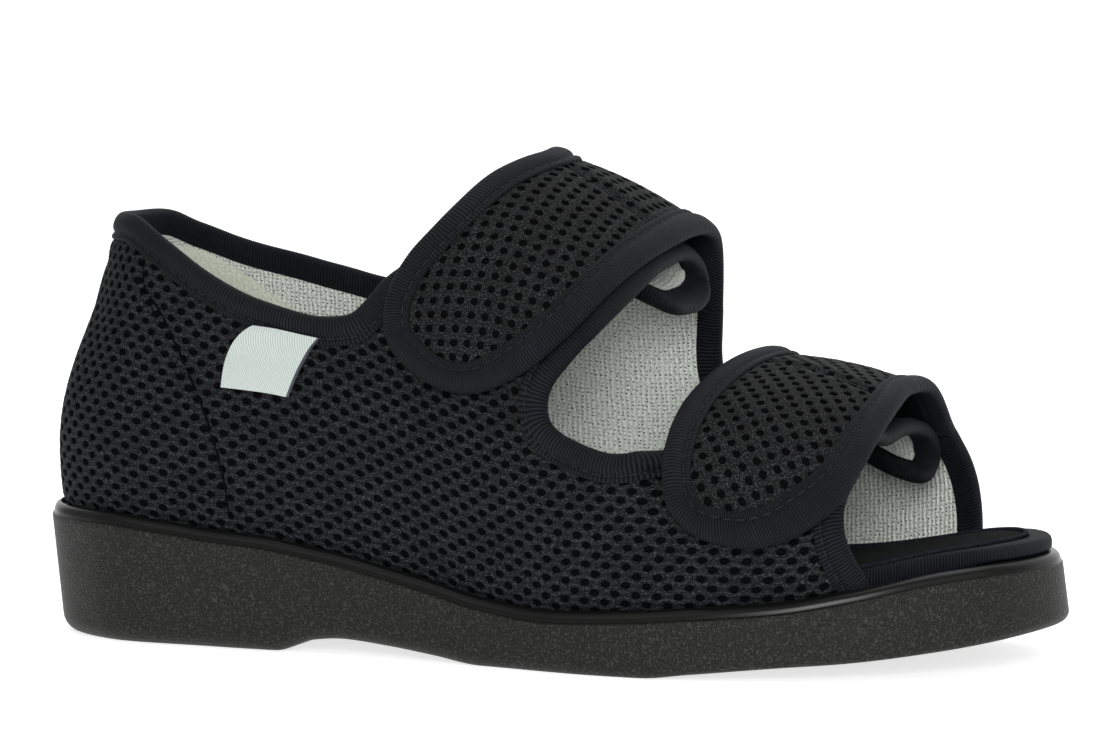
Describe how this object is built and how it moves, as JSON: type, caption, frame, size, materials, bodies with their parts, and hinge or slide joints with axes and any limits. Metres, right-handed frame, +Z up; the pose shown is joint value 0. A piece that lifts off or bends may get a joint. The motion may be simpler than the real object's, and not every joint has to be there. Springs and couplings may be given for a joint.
{
  "type": "hook and loop shoe",
  "caption": "Open-toe comfort sandal with a closed heel, wide hook and loop straps over the instep and the toes, a padded insole and a thick moulded sole.",
  "frame": {"origin": "centre of the shoe's bounding box in plan, at the underside of the sole", "axes": "+X from the heel to the toe, +Y to the inner side of the foot, +Z up"},
  "size_m": [0.2659, 0.0982, 0.1233],
  "materials": {
    "outsole": "matt moulded foam with a fine grain",
    "upper": "open air mesh over a pale knitted lining",
    "strap": "open air mesh edged with ribbed tape",
    "insole": "short plush with a ribbed edge",
    "label": "blank woven patch"
  },
  "bodies": {
    "root": {"outsole": "outsole", "insole": "insole", "upper": "upper", "instep_strap": "strap", "toe_strap": "strap", "label": "label"}
  },
  "joints": []
}
